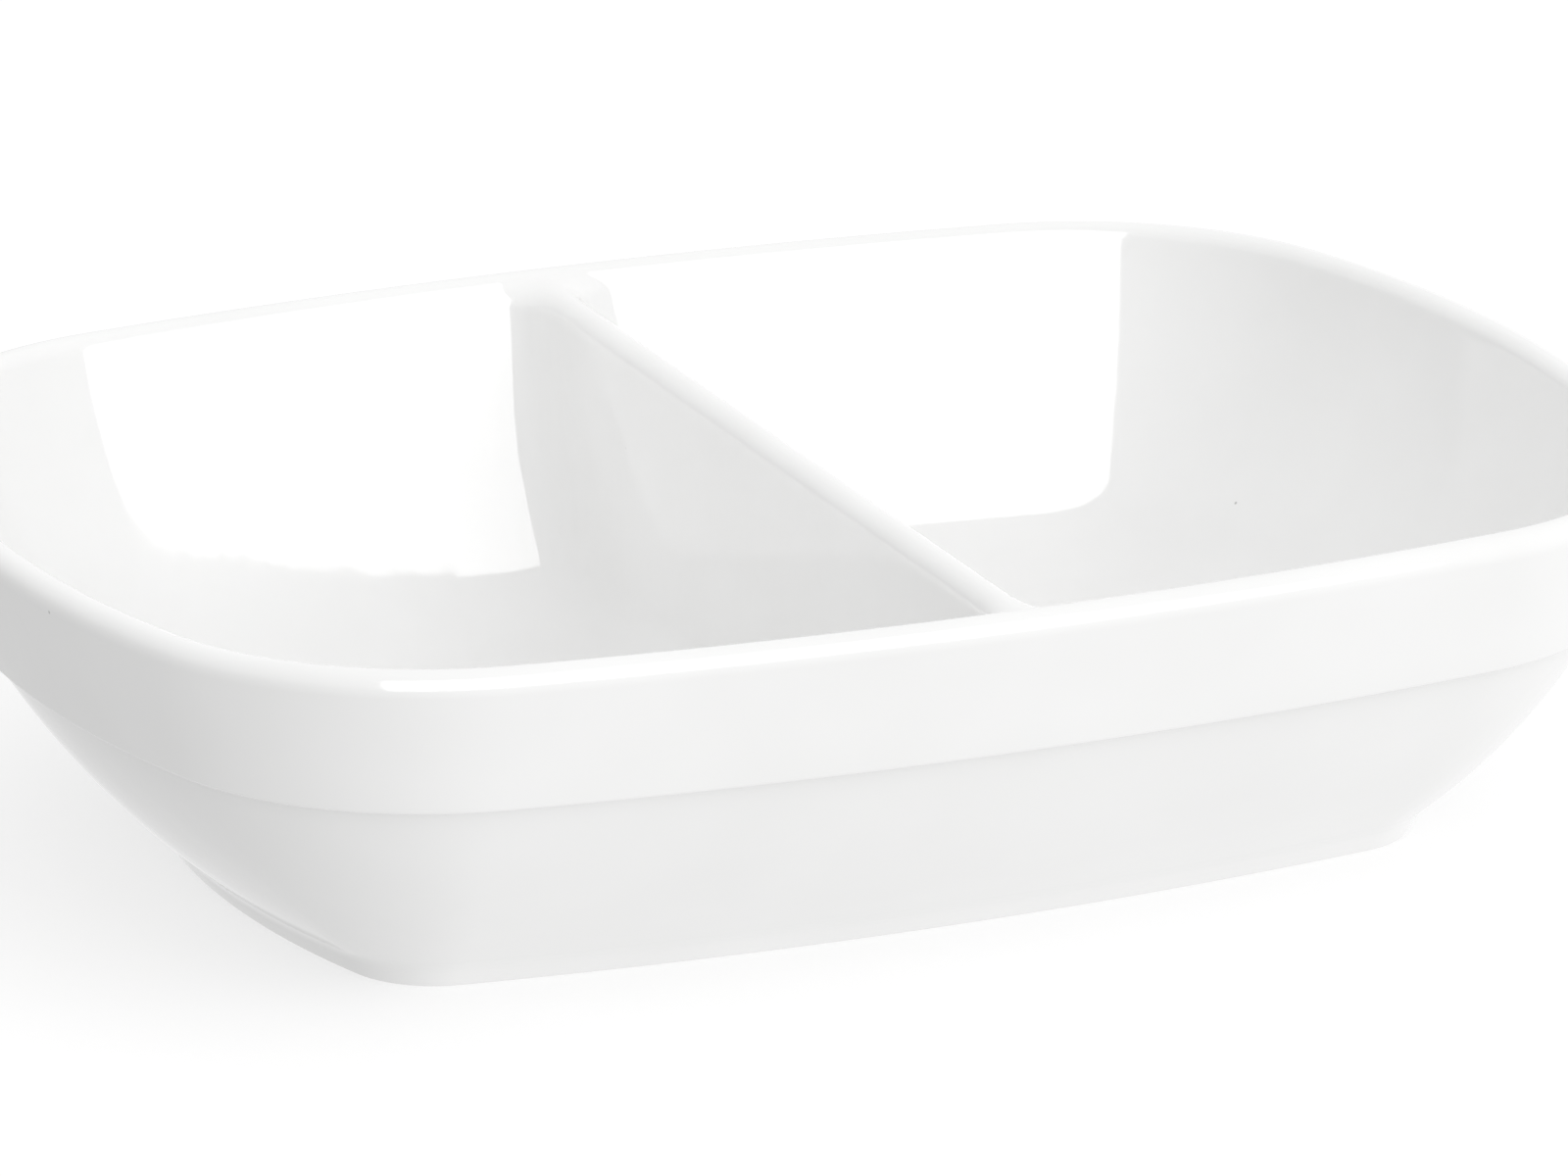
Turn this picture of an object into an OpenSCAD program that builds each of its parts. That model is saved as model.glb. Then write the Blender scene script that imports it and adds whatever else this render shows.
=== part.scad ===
// Divided serving dish: a one-piece porcelain dish with two wells, a thick
// collar under the rim, a partition across the middle and a low standing ring.
// Origin: middle of the plane that the dish stands on. +X along the long axis,
// +Z up.

/* [Outline] */
// Overall length, along X, at the widest line of the rim
dish_length = 212; // [170:1:260]
// Overall width, along Y, at the widest line of the rim
dish_width = 160; // [130:1:200]
// Radius of the four corners of the outline
corner_radius = 42; // [35:1:52]
// Radius of the slightly bowed long sides
long_side_radius = 460; // [300:5:900]
// Radius of the bowed short ends
end_radius = 155; // [120:5:260]

/* [Height and wall] */
// Overall height, from the table to the rim
dish_height = 49; // [40:1:60]
// Height of the collar, from its lower edge to the rim
collar_height = 18.5; // [12:0.5:24]
// How far the collar's lower edge lies in from the outline
collar_draft = 4.5; // [1:0.1:6]
// How far the wall steps in below the collar
collar_step = 1.8; // [0.8:0.1:3]
// Thickness of the wall below the collar
wall_t = 4.4; // [3.5:0.1:6]
// Thickness of the rim, across its round
rim_t = 4.5; // [3.8:0.1:6]
// Thickness of the floor
floor_t = 5; // [4:0.1:7]
// Radius from the wall to the floor, inside
well_fillet = 24; // [10:1:28]

/* [Divider] */
// Thickness of the divider, just under its rounded top edge
divider_t = 5; // [4:0.1:8]
// How far the divider's top lies below the rim
divider_drop = 1.2; // [0.5:0.1:12]
// Draft of each side of the divider, in degrees
divider_draft = 2.5; // [0.5:0.5:6]
// Radius from the divider to the floor
divider_fillet = 9; // [4:0.5:12]

/* [Foot] */
// Distance in from the outline to the outside of the foot
foot_inset = 29; // [22:0.5:35]
// Height of the foot under the floor
foot_height = 2.6; // [1.5:0.1:5]
// Width of the foot's flat, unglazed standing face
foot_face = 3.6; // [2.5:0.1:6]
// How far each side of the foot slopes in on its way down
foot_slope = 1; // [0.3:0.1:2]

/* [Hidden] */
$fn = 120;

GLAZED = [0.96, 0.96, 0.95];
BARE = [0.93, 0.91, 0.87];
REACH = 2 * (dish_length + dish_width); // longer than anything in a section

// Outline: four tangent arcs a quarter, so the corner's centre is where the
// inward offsets of a long side and of an end meet.
long_centre = [0, dish_width / 2 - long_side_radius];
end_centre = [dish_length / 2 - end_radius, 0];
long_to_corner = long_side_radius - corner_radius;
end_to_corner = end_radius - corner_radius;
centres_gap = norm(end_centre - long_centre);
along = (long_to_corner ^ 2 - end_to_corner ^ 2 + centres_gap ^ 2) / (2 * centres_gap);
across = sqrt(long_to_corner ^ 2 - along ^ 2);
gap_dir = (end_centre - long_centre) / centres_gap;
corner_centre = long_centre + along * gap_dir + across * [gap_dir[1], -gap_dir[0]];

// Plan lines between the arcs: each runs from a corner's centre, square to the
// outline, past the point where two arcs meet
past_end = corner_centre + 2 * corner_radius * (corner_centre - end_centre) / end_to_corner;
past_long = corner_centre + 2 * corner_radius * (corner_centre - long_centre) / long_to_corner;

// Heights
step_z = dish_height - collar_height;
floor_z = foot_height + floor_t;
divider_top = dish_height - divider_drop;

// Rim: a full round that touches the outline
rim_r = rim_t / 2;
rim_centre = [rim_r, dish_height - rim_r];

// Section of the wall. Its x is the distance in from the outline. Both faces
// are arcs about one centre. The outer one runs from under the collar down to
// the foot, and its radius is the one that lets the inner one touch the rim's
// round.
wall_top = [collar_draft + collar_step, step_z];
wall_foot = [foot_inset, foot_height];
half_chord = norm(wall_foot - wall_top) / 2;
chord_dir = (wall_foot - wall_top) / (2 * half_chord);
square_to_chord = [-chord_dir[1], chord_dir[0]];
chord_middle = (wall_top + wall_foot) / 2;
from_rim = chord_middle - rim_centre;
rim_along = from_rim * square_to_chord;
rim_less_wall = rim_r - wall_t;
bulge = (rim_less_wall ^ 2 + half_chord ^ 2 - from_rim * from_rim) / 2;
bulge_a = rim_along ^ 2 - rim_less_wall ^ 2;
bulge_b = rim_less_wall * bulge;
bulge_c = (half_chord * rim_along) ^ 2 + bulge ^ 2;
wall_radius = (bulge_b + sqrt(bulge_b ^ 2 + bulge_a * bulge_c)) / bulge_a;
wall_centre = chord_middle + sqrt(wall_radius ^ 2 - half_chord ^ 2) * square_to_chord;
well_radius = wall_radius - wall_t;

// Fillet from the well's wall to its floor, no wider than a corner can take.
// The turned section ends just short of the corner's centre, and the flat field
// of the floor laps it.
section_end = corner_radius - 1;
field_inset = corner_radius - 3;
fillet_limit = corner_radius - 1.5;
centre_to_floor = wall_centre[1] - floor_z;
fillet_room = (well_radius ^ 2 - centre_to_floor ^ 2 - (wall_centre[0] - fillet_limit) ^ 2)
    / (2 * (well_radius - centre_to_floor));
fillet_r = min(well_fillet, fillet_room);
fillet_centre = [
    wall_centre[0] - sqrt((well_radius - fillet_r) ^ 2 - (centre_to_floor - fillet_r) ^ 2),
    floor_z + fillet_r
];
to_fillet = (fillet_centre - wall_centre) / norm(fillet_centre - wall_centre);
fillet_start = wall_centre + well_radius * to_fillet;

// Collar: a straight face from its lower edge up to the round of the rim
collar_edge = [collar_draft, step_z];
to_rim = rim_centre - collar_edge;
to_rim_angle = atan2(to_rim[1], to_rim[0]) + asin(rim_r / norm(to_rim));
face_length = sqrt(to_rim * to_rim - rim_r ^ 2);
face_top = collar_edge + face_length * [cos(to_rim_angle), sin(to_rim_angle)];
rim_top = [rim_r, dish_height];
rim_touch = rim_centre + rim_r * (wall_centre - rim_centre) / norm(wall_centre - rim_centre);

// An arc's points after its first, drawn as short flats that lie within 0.03 mm
function arc(centre, from, to, flats) =
    let (start = atan2(from[1] - centre[1], from[0] - centre[0]),
         stop = atan2(to[1] - centre[1], to[0] - centre[0]),
         turn = (stop - start + 540) % 360 - 180)
        [for (i = [1:flats])
            let (angle = start + turn * i / flats)
                centre + norm(from - centre) * [cos(angle), sin(angle)]];

// The wall's inner face: up from the floor to the step, and on up to the rim
floor_edge = [fillet_centre[0], floor_z];
wall_at_step = [wall_centre[0] - sqrt(well_radius ^ 2 - (step_z - wall_centre[1]) ^ 2), step_z];
to_step = concat([floor_edge], arc(fillet_centre, floor_edge, fillet_start, 12),
                 arc(wall_centre, fillet_start, wall_at_step, 6));
to_rim_touch = arc(wall_centre, wall_at_step, rim_touch, 6);

// A point of the plan in another quarter
function flip(point, x, y) = [x * point[0], y * point[1]];

// A section turned about the centre of one of the outline's arcs
module turned(centre, radius) {
    translate([centre[0], centre[1], 0])
        rotate_extrude()
            intersection() {
                translate([radius, 0]) mirror([1, 0]) children();
                translate([0, -REACH]) square(2 * REACH);
            }
}

// The part of a turned section that stands on one piece of the plan
module stretch(centre, radius, plan) {
    intersection() {
        turned(centre, radius) children();
        linear_extrude(REACH, center = true) polygon(plan);
    }
}

// Carries a section along the side at y > 0 (side = 1) or y < 0 (side = -1)
module along_side(side) {
    plan = [flip(corner_centre, -1, side), flip(past_long, -1, side),
            flip(past_long, 1, side), flip(corner_centre, 1, side)];
    stretch(side * long_centre, long_side_radius, plan) children();
}

// Carries a section along the end at x > 0 (side = 1) or x < 0 (side = -1)
module along_end(side) {
    plan = [flip(corner_centre, side, -1), flip(past_end, side, -1),
            flip(past_end, side, 1), flip(corner_centre, side, 1)];
    stretch(side * end_centre, end_radius, plan) children();
}

// Carries a section round one corner
module along_corner(x, y) {
    plan = [flip(corner_centre, x, y), flip(past_end, x, y),
            [x * past_end[0], y * past_long[1]], flip(past_long, x, y)];
    stretch(flip(corner_centre, x, y), corner_radius, plan) children();
}

// Carries a section round the whole outline
module around() {
    for (side = [1, -1]) {
        along_end(side) children();
        along_side(side) children();
        for (y = [1, -1])
            along_corner(side, y) children();
    }
}

// Plan of the flat field of the floor
module field() {
    intersection() {
        translate(end_centre) circle(end_radius - field_inset);
        translate(-end_centre) circle(end_radius - field_inset);
        translate(long_centre) circle(long_side_radius - field_inset);
        translate(-long_centre) circle(long_side_radius - field_inset);
    }
}

// Section of the room inside a well, open upwards
module well_section() {
    polygon(concat(to_step, to_rim_touch,
                   [[rim_touch[0], REACH], [REACH, REACH], [REACH, floor_z]]));
}

// Section of the lower wall and the edge of the floor
module body_section() {
    polygon(concat([wall_top], arc(wall_centre, wall_top, wall_foot, 8),
                   [[section_end, foot_height], [section_end, floor_z]], to_step));
}

// Lower wall and floor, from under the collar down to the top of the foot
module dish_body() {
    color(GLAZED) {
        around() body_section();
        translate([0, 0, foot_height]) linear_extrude(floor_t) field();
    }
}

// Upper wall: the thick band that carries the rounded rim
module rim_collar() {
    color(GLAZED)
        around()
            polygon(concat([collar_edge, wall_at_step], to_rim_touch,
                           arc(rim_centre, rim_touch, rim_top, 8),
                           arc(rim_centre, rim_top, face_top, 8)));
}

// Section of the divider, on the floor, with its rounded top and two fillets
module divider_section() {
    top_r = divider_t / 2;
    top_z = divider_top - top_r;
    foot_half = top_r + (top_z - floor_z) * tan(divider_draft);
    toe = 0.3;
    fillet_up = floor_z + divider_fillet - toe;
    fillet_x = top_r + (top_z - fillet_up) * tan(divider_draft) + divider_fillet / cos(divider_draft);
    translate([0, top_z]) circle(top_r);
    for (side = [0, 1])
        mirror([side, 0])
            difference() {
                polygon([[0, floor_z], [fillet_x, floor_z], [fillet_x, floor_z + 0.01],
                         [foot_half, fillet_up], [top_r, top_z], [0, top_z]]);
                translate([fillet_x, fillet_up]) circle(divider_fillet);
            }
}

// Partition across the middle, trimmed to the curve of the two long walls
module divider() {
    color(GLAZED)
        intersection() {
            rotate([90, 0, 0])
                linear_extrude(dish_width, center = true) divider_section();
            turned(long_centre, long_side_radius) well_section();
            turned(-long_centre, long_side_radius) well_section();
        }
}

// Standing ring under the floor, ground flat where it meets the table
module foot_ring() {
    color(BARE)
        around()
            polygon([[foot_inset, foot_height], [foot_inset + foot_slope, 0],
                     [foot_inset + foot_slope + foot_face, 0],
                     [foot_inset + 2 * foot_slope + foot_face, foot_height]]);
}

dish_body();
rim_collar();
divider();
foot_ring();
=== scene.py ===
import math

import bpy
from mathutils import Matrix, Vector


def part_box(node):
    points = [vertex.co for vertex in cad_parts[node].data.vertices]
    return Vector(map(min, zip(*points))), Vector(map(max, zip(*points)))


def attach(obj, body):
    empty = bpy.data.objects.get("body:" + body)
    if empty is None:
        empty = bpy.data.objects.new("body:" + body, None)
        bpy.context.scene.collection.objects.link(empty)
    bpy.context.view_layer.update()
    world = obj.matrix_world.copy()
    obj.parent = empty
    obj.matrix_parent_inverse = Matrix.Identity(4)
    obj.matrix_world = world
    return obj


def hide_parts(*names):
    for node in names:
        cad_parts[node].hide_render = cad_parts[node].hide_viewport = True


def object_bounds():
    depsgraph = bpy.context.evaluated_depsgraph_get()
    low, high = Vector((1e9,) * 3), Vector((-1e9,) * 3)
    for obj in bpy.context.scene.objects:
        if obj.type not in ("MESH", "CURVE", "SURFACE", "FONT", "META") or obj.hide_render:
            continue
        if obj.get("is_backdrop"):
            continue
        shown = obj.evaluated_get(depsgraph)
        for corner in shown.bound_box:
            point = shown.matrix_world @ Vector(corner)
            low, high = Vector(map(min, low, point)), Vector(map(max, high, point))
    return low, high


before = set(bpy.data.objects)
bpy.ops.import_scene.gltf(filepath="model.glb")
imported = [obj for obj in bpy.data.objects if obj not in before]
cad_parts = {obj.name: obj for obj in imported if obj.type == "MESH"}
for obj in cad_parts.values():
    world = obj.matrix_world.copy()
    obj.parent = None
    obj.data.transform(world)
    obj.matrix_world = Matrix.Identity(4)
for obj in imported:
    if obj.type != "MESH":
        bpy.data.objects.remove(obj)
cad_low, cad_high = (Vector(corner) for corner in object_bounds())


# ---------------------------------------------------------------- dish body
# Lower wall and floor of the dish: white porcelain under a clear gloss glaze.
# The wall is one long curve in section, carried round an outline of three
# tangent arcs a quarter, and it runs into the flat floor in a wide fillet.

MM = 0.001
half_length = cad_high.x
half_width = cad_high.y
rim_z = cad_high.z
step_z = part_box("rim_collar")[0].z
foot_top_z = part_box("foot_ring")[1].z
floor_z = foot_top_z + 5 * MM

long_radius, end_radius, corner_radius = 460 * MM, 155 * MM, 42 * MM
long_y = half_width - long_radius
end_x = half_length - end_radius
centres_gap = math.hypot(end_x, long_y)
to_long, to_end = long_radius - corner_radius, end_radius - corner_radius
along = (to_long ** 2 - to_end ** 2 + centres_gap ** 2) / (2 * centres_gap)
across = math.sqrt(to_long ** 2 - along ** 2)
corner_x = (along * end_x - across * long_y) / centres_gap
corner_y = long_y - (along * long_y + across * end_x) / centres_gap
long_turn = math.atan2(corner_x, corner_y - long_y)
end_turn = math.atan2(corner_y, corner_x - end_x)

# A section point is (distance in from the outline, height).
wall_t = 4.4 * MM
wall_radius = 85.45 * MM
well_radius = wall_radius - wall_t
wall_top = Vector((6.3 * MM, step_z))
wall_foot = Vector((half_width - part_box("foot_ring")[1].y, foot_top_z))
chord = wall_foot - wall_top
rise = math.sqrt(wall_radius ** 2 - chord.length_squared / 4)
wall_centre = (wall_top + wall_foot) / 2 + rise * Vector((-chord.y, chord.x)).normalized()
well_fillet = 24 * MM
fillet_z = floor_z + well_fillet
fillet_run = math.sqrt((well_radius - well_fillet) ** 2 - (wall_centre.y - fillet_z) ** 2)
fillet_centre = Vector((wall_centre.x - fillet_run, fillet_z))
fillet_top = wall_centre + (fillet_centre - wall_centre).normalized() * well_radius
foot_sweep = 6 * MM
foot_lean = math.radians(27)
blend_above = 1.2 * MM
weld = 0.002 * MM


def on_wall(radius, height):
    """Point of an arc about the wall's centre, at a height."""
    return Vector((wall_centre.x - math.sqrt(radius ** 2 - (height - wall_centre.y) ** 2), height))


def put_pen(point):
    """Starts a section on the middle plane of the long side, as one vertex."""
    bpy.ops.object.select_all(action="DESELECT")
    bpy.ops.mesh.primitive_plane_add(size=MM, location=(0, half_width - point.x, point.y))
    bpy.ops.object.transform_apply(location=True)
    bpy.ops.object.mode_set(mode="EDIT")
    bpy.ops.mesh.merge(type="CENTER")
    return point


def line_to(pen, point):
    """Draws a straight line on to a point."""
    move = (0, pen.x - point.x, point.y - pen.y)
    bpy.ops.mesh.extrude_vertices_move(TRANSFORM_OT_translate={"value": move})
    return point


def arc_to(pen, centre, point, steps):
    """Draws an arc about a centre on to a point, the short way round."""
    start = math.atan2(pen.y - centre.y, centre.x - pen.x)
    stop = math.atan2(point.y - centre.y, centre.x - point.x)
    turn = (start - stop + math.pi) % (2 * math.pi) - math.pi
    bpy.ops.mesh.spin(steps=steps, angle=turn, axis=(1, 0, 0),
                      center=(0, half_width - centre.x, centre.y))
    return point


def carry_round(name):
    """Spins the drawn section round a quarter of the outline and mirrors it twice."""
    bpy.ops.mesh.select_all(action="SELECT")
    bpy.ops.mesh.remove_doubles(threshold=weld)
    bpy.ops.mesh.select_all(action="SELECT")
    corner_turn = math.pi / 2 - long_turn - end_turn
    for centre, turn, steps in (((0, long_y, 0), long_turn, 26),
                                ((corner_x, corner_y, 0), corner_turn, 30),
                                ((end_x, 0, 0), end_turn, 24)):
        bpy.ops.mesh.spin(steps=steps, angle=turn, axis=(0, 0, 1), center=centre)
    bpy.ops.object.mode_set(mode="OBJECT")
    ring = bpy.context.object
    ring.name = ring.data.name = name
    mirror = ring.modifiers.new("quarters", "MIRROR")
    mirror.use_axis = (True, True, False)
    mirror.merge_threshold = 0.02 * MM
    bpy.ops.object.modifier_apply(modifier=mirror.name)
    return ring


def finish_piece(piece, crease_angle=35):
    """Points the faces outwards and shades the curved ones smooth."""
    bpy.ops.object.select_all(action="DESELECT")
    piece.select_set(True)
    bpy.context.view_layer.objects.active = piece
    bpy.ops.object.mode_set(mode="EDIT")
    bpy.ops.mesh.select_all(action="SELECT")
    bpy.ops.mesh.normals_make_consistent(inside=False)
    bpy.ops.object.mode_set(mode="OBJECT")
    bpy.ops.object.shade_smooth_by_angle(angle=math.radians(crease_angle))


def foot_blend():
    """Start, middle and end of the hollow where the wall turns down into the foot."""
    start = on_wall(wall_radius, foot_top_z + blend_above)
    lean = math.acos((wall_centre.x - start.x) / wall_radius)
    centre = start - foot_sweep * Vector((math.cos(lean), math.sin(lean)))
    end = centre + foot_sweep * Vector((math.cos(foot_lean), math.sin(foot_lean)))
    return start, centre, end


blend_start, blend_centre, blend_end = foot_blend()
split_run = math.sqrt(foot_sweep ** 2 - (foot_top_z - blend_centre.y) ** 2)
blend_split = Vector((blend_centre.x + split_run, foot_top_z))
floor_edge = corner_radius - 0.5 * MM

pen = put_pen(Vector((floor_edge, floor_z)))
pen = line_to(pen, Vector((fillet_centre.x, floor_z)))
pen = arc_to(pen, fillet_centre, fillet_top, 18)
pen = arc_to(pen, wall_centre, on_wall(well_radius, step_z), 14)
pen = line_to(pen, wall_top)
pen = arc_to(pen, wall_centre, blend_start, 26)
pen = arc_to(pen, blend_centre, blend_split, 4)
pen = line_to(pen, Vector((floor_edge, foot_top_z)))
body = carry_round("porcelain_body")

bpy.ops.object.mode_set(mode="EDIT")
bpy.ops.mesh.select_all(action="SELECT")
bpy.ops.mesh.fill_holes(sides=0)
bpy.ops.object.mode_set(mode="OBJECT")
finish_piece(body)


def nodes_of(material):
    """Gives a material's node tree and the shader in it."""
    material.use_nodes = True
    tree = material.node_tree
    return tree, tree.nodes["Principled BSDF"]


def noise(tree, scale, detail=2.0, roughness=0.5):
    """Cloudy texture over a piece, in features per metre."""
    where = tree.nodes.new("ShaderNodeTexCoord")
    texture = tree.nodes.new("ShaderNodeTexNoise")
    texture.inputs["Scale"].default_value = scale
    texture.inputs["Detail"].default_value = detail
    texture.inputs["Roughness"].default_value = roughness
    tree.links.new(where.outputs["Object"], texture.inputs["Vector"])
    return texture


def ramp(tree, source, stops):
    """Maps a 0 to 1 value onto a few grey or coloured stops."""
    node = tree.nodes.new("ShaderNodeValToRGB")
    while len(node.color_ramp.elements) < len(stops):
        node.color_ramp.elements.new(0.5)
    for element, (place, colour) in zip(node.color_ramp.elements, stops):
        element.position = place
        element.color = (*colour, 1)
    tree.links.new(source, node.inputs["Fac"])
    return node


def glaze():
    """Clear gloss over white porcelain, with a few pin specks and a slight peel."""
    material = bpy.data.materials.new("gloss_glaze")
    tree, shader = nodes_of(material)
    tone = ramp(tree, noise(tree, 45).outputs["Fac"],
                ((0.3, (0.82, 0.82, 0.816)), (0.7, (0.84, 0.84, 0.837))))
    where = tree.nodes.new("ShaderNodeTexCoord")
    specks = tree.nodes.new("ShaderNodeTexVoronoi")
    specks.inputs["Scale"].default_value = 42
    tree.links.new(where.outputs["Object"], specks.inputs["Vector"])
    speck = ramp(tree, specks.outputs["Distance"],
                 ((0.006, (1, 1, 1)), (0.012, (0, 0, 0))))
    mix = tree.nodes.new("ShaderNodeMix")
    mix.data_type = "RGBA"
    mix.inputs["B"].default_value = (0.42, 0.42, 0.41, 1)
    tree.links.new(speck.outputs["Color"], mix.inputs["Factor"])
    tree.links.new(tone.outputs["Color"], mix.inputs["A"])
    tree.links.new(mix.outputs["Result"], shader.inputs["Base Color"])
    gloss = ramp(tree, noise(tree, 90, 3).outputs["Fac"],
                 ((0.3, (0.045, 0.045, 0.045)), (0.7, (0.075, 0.075, 0.075))))
    tree.links.new(gloss.outputs["Color"], shader.inputs["Roughness"])
    peel = tree.nodes.new("ShaderNodeBump")
    peel.inputs["Strength"].default_value = 0.05
    peel.inputs["Distance"].default_value = 0.0003
    tree.links.new(noise(tree, 260, 1).outputs["Fac"], peel.inputs["Height"])
    tree.links.new(peel.outputs["Normal"], shader.inputs["Normal"])
    shader.inputs["IOR"].default_value = 1.52
    return material


gloss_glaze = glaze()
body.data.materials.append(gloss_glaze)
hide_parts("dish_body")
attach(body, "root")


# --------------------------------------------------------------- rim collar
# Thick band that carries the rounded rim: the same porcelain, moulded in one
# with the wall. Its drafted face ends in a soft edge over a small step.

collar_edge = Vector((4.5 * MM, step_z))
rim_above = rim_z - wall_centre.y
rim_b = wall_centre.x + rim_above + well_radius
rim_c = wall_centre.x ** 2 + rim_above ** 2 - well_radius ** 2
rim_r = rim_b - math.sqrt(rim_b ** 2 - rim_c)
rim_centre = Vector((rim_r, rim_z - rim_r))
rim_to_well = rim_centre + rim_r * (wall_centre - rim_centre).normalized()
to_rim = rim_centre - collar_edge
face_angle = math.atan2(to_rim.y, to_rim.x) + math.asin(rim_r / to_rim.length)
face_length = math.sqrt(to_rim.length_squared - rim_r ** 2)
face_run = Vector((math.cos(face_angle), math.sin(face_angle)))
edge_round = 0.7 * MM
edge_reach = edge_round / math.tan(face_angle / 2)
edge_turn = collar_edge + edge_reach * face_run
edge_flat = collar_edge + Vector((edge_reach, 0))
edge_centre = Vector((edge_flat.x, step_z + edge_round))

pen = put_pen(on_wall(well_radius, step_z))
pen = arc_to(pen, wall_centre, rim_to_well, 18)
pen = arc_to(pen, rim_centre, Vector((rim_r, rim_z)), 12)
face_top = collar_edge + face_length * face_run
pen = arc_to(pen, rim_centre, face_top, 14)
for part in (0.75, 0.5, 0.25):
    pen = line_to(pen, edge_turn + part * (face_top - edge_turn))
pen = line_to(pen, edge_turn)
pen = arc_to(pen, edge_centre, edge_flat, 6)
pen = line_to(pen, on_wall(well_radius, step_z))
collar = carry_round("porcelain_collar")
finish_piece(collar)
collar.data.materials.append(gloss_glaze)
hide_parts("rim_collar")
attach(collar, "root")


# ------------------------------------------------------------------ divider
# Partition across the middle: cast with the dish and glazed with it, so both
# its foot and its ends run into the floor and the walls in soft hollows.
# The blend has no simple sweep, so a grid's vertices are placed by formula.

divider_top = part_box("divider")[1].z
top_r = 2.5 * MM
top_start = divider_top - top_r
draft = math.tan(math.radians(2.5))
foot_hollow = 9 * MM
low_flare, high_flare = 19 * MM, 13 * MM
squareness = 3.8
flare_rise = 0.95 * MM
rim_zone_low, rim_zone_height = 27 * MM, 18 * MM
lift_below = 4 * MM
touching = 0.001 * MM
# The ends sink into the dish, and the closing faces lie deeper still, out of sight.
sunk = 0.04 * MM
core_depth = 0.8 * MM


def inset_of_well(height):
    """Distance in from the outline to the well's wall, fillet or rim round."""
    if height < fillet_top.y:
        drop = min(fillet_z - height, well_fillet)
        return fillet_centre.x - math.sqrt(well_fillet ** 2 - drop ** 2)
    if height < rim_to_well.y:
        return on_wall(well_radius, height).x
    return rim_r + math.sqrt(max(rim_r ** 2 - (height - rim_centre.y) ** 2, 0))


def nearness_to_rim(height):
    """0 low in the well, rising smoothly to 1 under the rim."""
    part = min(max((height - rim_zone_low) / rim_zone_height, 0), 1)
    return part * part * (3 - 2 * part)


def flare_point(turn):
    """How far off the wall and off the divider the hollow between them has come, as
    shares of its reach, where it has turned so far from the wall."""
    if turn <= 0:
        return 0, 1
    if turn >= math.pi / 2:
        return 1, 0
    ratio = math.tan(turn) ** (1 / (squareness - 1))
    off = (1 + ratio ** squareness) ** (-1 / squareness)
    return 1 - off, 1 - ratio * off


heights = [floor_z + foot_hollow * (1 - math.cos(math.pi / 2 * i / 16)) for i in range(16)]
hollow_top = floor_z + foot_hollow
heights += [hollow_top + (top_start - hollow_top) * i / 14 for i in range(14)]
heights += [top_start + top_r * math.sin(math.pi / 2 * i / 10) for i in range(11)]
open_part = [1 - i / 10 for i in range(10)]
flare_turns = [math.pi / 4 * (1 + math.cos(math.pi * i / 26)) for i in range(27)]
columns = len(open_part) + len(flare_turns) + 1
rows = len(heights) + 1
bpy.ops.object.select_all(action="DESELECT")
bpy.ops.mesh.primitive_grid_add(x_subdivisions=columns - 1, y_subdivisions=rows - 1, size=1)
divider = bpy.context.object
divider.name = divider.data.name = "porcelain_divider"
for vertex in divider.data.vertices:
    column, row = vertex.index % columns, vertex.index // columns
    base = heights[max(row - 1, 0)]
    near_rim = nearness_to_rim(base)
    reach = half_width - inset_of_well(base)
    spread = low_flare + (high_flare - low_flare) * near_rim
    if column < len(open_part):
        away, flared = spread + (reach - spread) * open_part[column], 0
    else:
        turn = flare_turns[min(column - len(open_part), len(flare_turns) - 1)]
        off_wall, flared = flare_point(turn)
        away = spread * off_wall
    above = 1 - min((base - floor_z) / foot_hollow, 1)
    footed = 1 - math.sqrt(1 - above ** 2)
    lifted = max(base - (top_start - lift_below), 0) / (top_r + lift_below)
    z = base + flare_rise * flared * lifted ** 2
    if base > top_start:
        crown = math.sqrt(max(top_r ** 2 - (base - top_start) ** 2, 0))
        x = crown * (1 + spread * flared / top_r)
    else:
        x = top_r + (top_start - base) * draft
        x += foot_hollow * footed * (1 - flared) + spread * flared
    y = long_y + math.sqrt((long_radius - inset_of_well(z)) ** 2 - x ** 2) - away
    if column == 0:
        y = 0
    if away < touching:
        y += sunk
    if base == floor_z:
        z -= sunk
    if row == 0:
        z -= core_depth
    if column == columns - 1:
        y += core_depth
    vertex.co = (0 if row == 0 or column == columns - 1 else x, y, z)
mirror = divider.modifiers.new("quarters", "MIRROR")
mirror.use_axis = (True, True, False)
mirror.merge_threshold = weld
bpy.ops.object.modifier_apply(modifier=mirror.name)
bpy.ops.object.mode_set(mode="EDIT")
bpy.ops.mesh.select_all(action="SELECT")
bpy.ops.mesh.remove_doubles(threshold=weld)
bpy.ops.mesh.select_all(action="SELECT")
bpy.ops.mesh.dissolve_degenerate(threshold=touching)
bpy.ops.object.mode_set(mode="OBJECT")
finish_piece(divider)
# The outward test leaves this piece facing inwards, so its faces are turned over.
divider.data.flip_normals()
divider.data.materials.append(gloss_glaze)
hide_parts("divider")
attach(divider, "root")


# ---------------------------------------------------------------- foot ring
# Low standing ring under the floor: its sides are glazed like the dish, and
# its face is ground flat after the glaze is wiped off it, so it shows bare.

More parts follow.
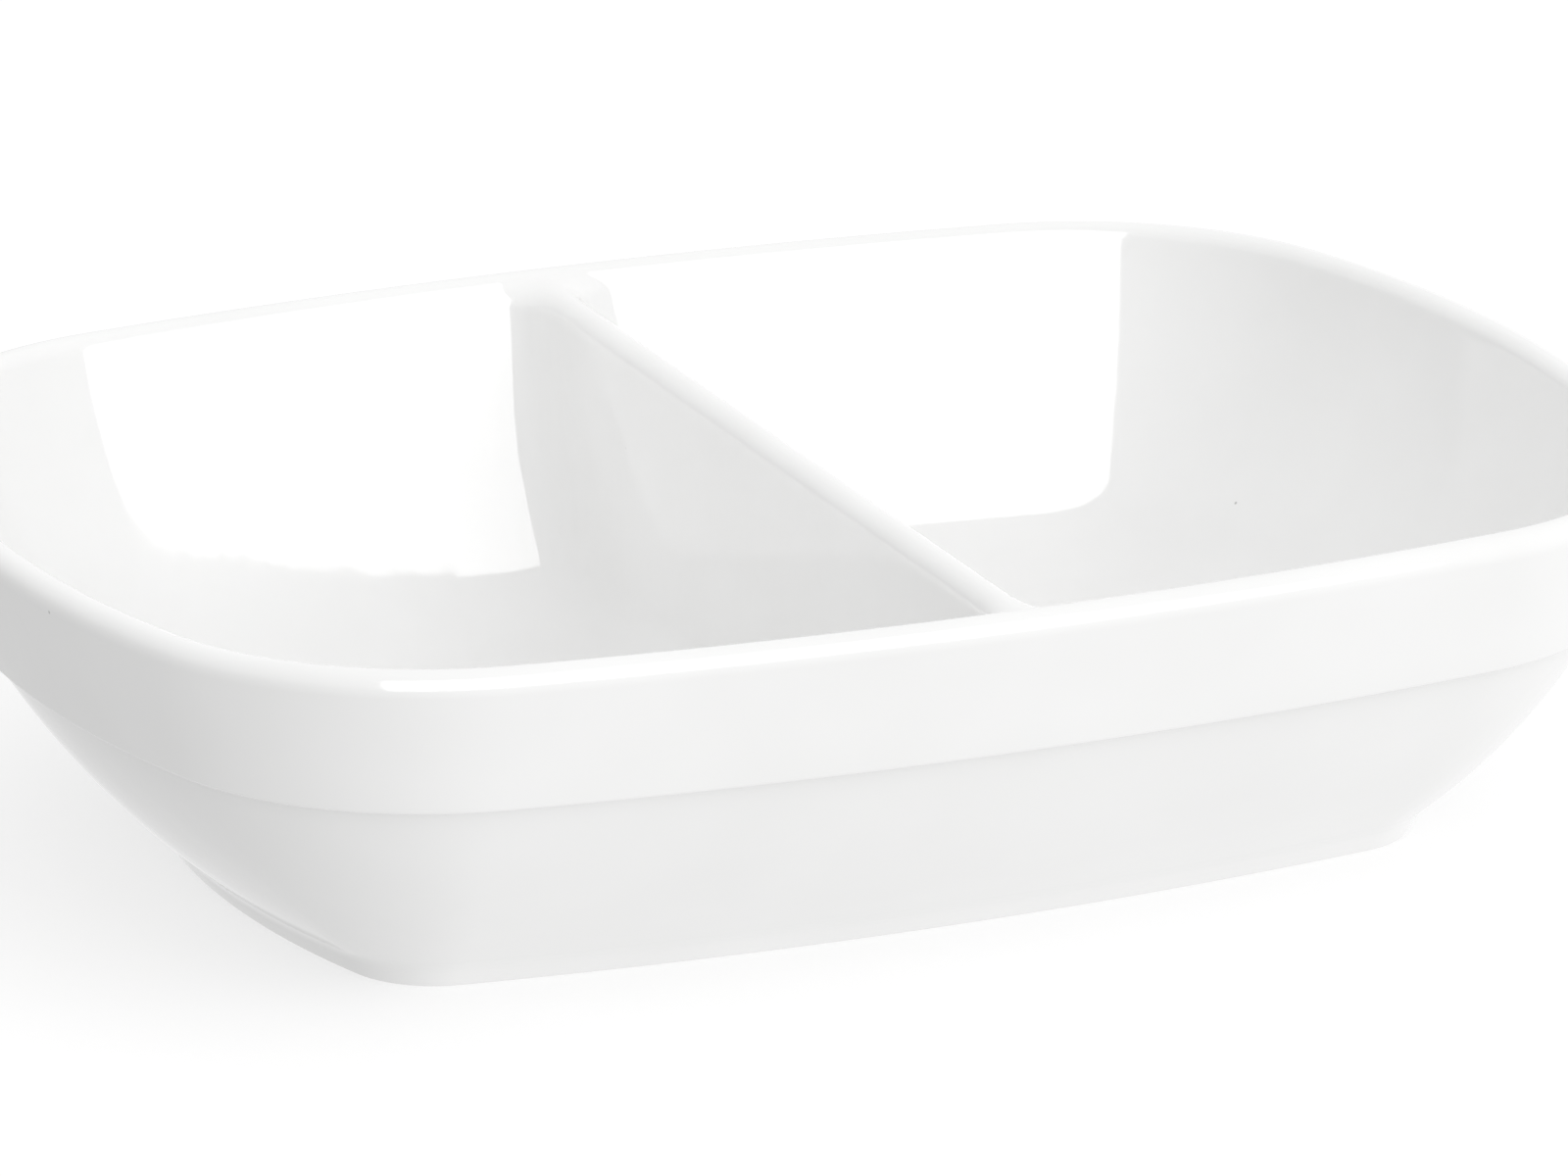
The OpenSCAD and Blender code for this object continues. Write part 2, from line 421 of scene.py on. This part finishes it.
face_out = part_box("foot_ring")[1].y
face_in = half_width - face_out + 4.6 * MM
foot_round = 0.4 * MM
foot_slope = Vector((math.sin(foot_lean), -math.cos(foot_lean)))
foot_drop = (blend_end.y - foot_round * (1 - math.sin(foot_lean))) / math.cos(foot_lean)
round_start = blend_end + foot_drop * foot_slope
outer_centre = round_start + foot_round * Vector((math.cos(foot_lean), math.sin(foot_lean)))
ground_in = Vector((face_in - foot_round, 0))
inner_centre = ground_in + Vector((0, foot_round))
inner_hollow = 1.3 * MM
inner_foot = Vector((ground_in.x + foot_round + inner_hollow, foot_top_z))

pen = put_pen(inner_foot)
pen = line_to(pen, blend_split)
pen = arc_to(pen, blend_centre, blend_end, 6)
pen = line_to(pen, round_start)
pen = arc_to(pen, outer_centre, Vector((outer_centre.x, 0)), 6)
pen = line_to(pen, ground_in)
pen = arc_to(pen, inner_centre, inner_centre + Vector((foot_round, 0)), 6)
hollow_centre = inner_foot - Vector((0, inner_hollow))
pen = line_to(pen, Vector((pen.x, hollow_centre.y)))
pen = arc_to(pen, hollow_centre, inner_foot, 6)
foot = carry_round("porcelain_foot")
finish_piece(foot)


def bare():
    """Porcelain without glaze: warmer, matt and finely grained."""
    material = bpy.data.materials.new("bare_porcelain")
    tree, shader = nodes_of(material)
    tone = ramp(tree, noise(tree, 900, 4).outputs["Fac"],
                ((0.3, (0.70, 0.67, 0.61)), (0.7, (0.79, 0.765, 0.71))))
    tree.links.new(tone.outputs["Color"], shader.inputs["Base Color"])
    chalk = ramp(tree, noise(tree, 500, 3).outputs["Fac"],
                 ((0.3, (0.55, 0.55, 0.55)), (0.7, (0.75, 0.75, 0.75))))
    tree.links.new(chalk.outputs["Color"], shader.inputs["Roughness"])
    grain = tree.nodes.new("ShaderNodeBump")
    grain.inputs["Strength"].default_value = 0.4
    grain.inputs["Distance"].default_value = 0.00008
    tree.links.new(noise(tree, 2600, 3).outputs["Fac"], grain.inputs["Height"])
    tree.links.new(grain.outputs["Normal"], shader.inputs["Normal"])
    return material


foot.data.materials.append(gloss_glaze)
foot.data.materials.append(bare())
for face in foot.data.polygons:
    faces_down = face.normal.z < -0.9
    if faces_down and abs(face.center.z) < 0.1 * MM:
        face.material_index = 1
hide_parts("foot_ring")
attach(foot, "root")


# ------------------------------------------------------------------- stage
# A white tabletop that glows a little, a pale room that is darker on one side,
# a large soft key, and a window that only the gloss of the glaze picks up.

bpy.ops.object.select_all(action="DESELECT")
bpy.ops.mesh.primitive_plane_add(size=12, location=(0, 0, 0))
floor = bpy.context.object
floor.name = "tabletop"
acrylic = bpy.data.materials.new("white_acrylic")
acrylic_shader = nodes_of(acrylic)[1]
acrylic_shader.inputs["Base Color"].default_value = (0.5, 0.5, 0.5, 1)
acrylic_shader.inputs["Roughness"].default_value = 1
acrylic_shader.inputs["Specular IOR Level"].default_value = 0
acrylic_shader.inputs["Emission Color"].default_value = (1, 1, 1, 1)
acrylic_shader.inputs["Emission Strength"].default_value = 0.5
floor.data.materials.append(acrylic)
floor.visible_diffuse = False
floor.visible_glossy = False
floor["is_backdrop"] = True

world = bpy.data.worlds.new("white_room")
bpy.context.scene.world = world
world.use_nodes = True
room = world.node_tree
directions = room.nodes.new("ShaderNodeTexCoord")
upwards = room.nodes.new("ShaderNodeSeparateXYZ")
room.links.new(directions.outputs["Generated"], upwards.inputs["Vector"])
towards_bright_side = room.nodes.new("ShaderNodeVectorMath")
towards_bright_side.operation = "DOT_PRODUCT"
towards_bright_side.inputs[1].default_value = (0.9, -0.44, 0)
room.links.new(directions.outputs["Generated"], towards_bright_side.inputs[0])
side = room.nodes.new("ShaderNodeMapRange")
side.inputs["From Min"].default_value = -0.9
side.inputs["From Max"].default_value = 0.15
side.inputs["To Min"].default_value = 0.47
side.inputs["To Max"].default_value = 1.08
ceiling = room.nodes.new("ShaderNodeMapRange")
ceiling.inputs["From Min"].default_value = 0.05
ceiling.inputs["From Max"].default_value = 0.45
overhead = room.nodes.new("ShaderNodeMix")
overhead.inputs["B"].default_value = 1.03
room.links.new(towards_bright_side.outputs["Value"], side.inputs["Value"])
room.links.new(upwards.outputs["Z"], ceiling.inputs["Value"])
room.links.new(ceiling.outputs["Result"], overhead.inputs["Factor"])
room.links.new(side.outputs["Result"], overhead.inputs["A"])
room.links.new(overhead.outputs["Result"], room.nodes["Background"].inputs["Strength"])
room.nodes["Background"].inputs["Color"].default_value = (1, 1, 1, 1)


def softbox(name, place, aim, width, height, radiance, gloss_only):
    """A rectangle of light at a place, facing a point."""
    bpy.ops.object.light_add(type="AREA", location=place)
    lamp = bpy.context.object
    lamp.name = name
    lamp.data.shape = "RECTANGLE"
    lamp.data.size, lamp.data.size_y = width, height
    lamp.data.energy = radiance * math.pi * width * height
    away = Vector(place) - Vector(aim)
    lamp.rotation_euler = away.to_track_quat("Z", "Y").to_euler()
    lamp.visible_diffuse = not gloss_only
    lamp.visible_glossy = gloss_only
    lamp.visible_camera = False


softbox("key", (0.63, -1.35, 1.0), (0, 0, 0), 1.6, 1.6, 0.9, False)
softbox("window", (0.055, -1.6, 1.83), (0.055, 0, 1.55), 2.86, 3.3, 4.0, True)

bpy.ops.object.camera_add()
camera = bpy.context.object
camera.name = "view"
camera.data.lens = 223.6
camera.data.sensor_width = 36
camera.data.clip_end = 20
camera.data.shift_x = -0.0025625
camera.data.shift_y = 0.0028125
yaw, pitch = 0.407, 0.3153
look_at = Vector((0.0353, 0.0774, 0))
distance = 1.3038
level = math.cos(pitch)
ahead = Vector((math.sin(yaw) * level, math.cos(yaw) * level, -math.sin(pitch)))
camera.location = look_at - ahead * distance
camera.rotation_euler = (math.pi / 2 - pitch, 0, -yaw)
bpy.context.scene.camera = camera
bpy.context.scene.view_settings.view_transform = "Standard"
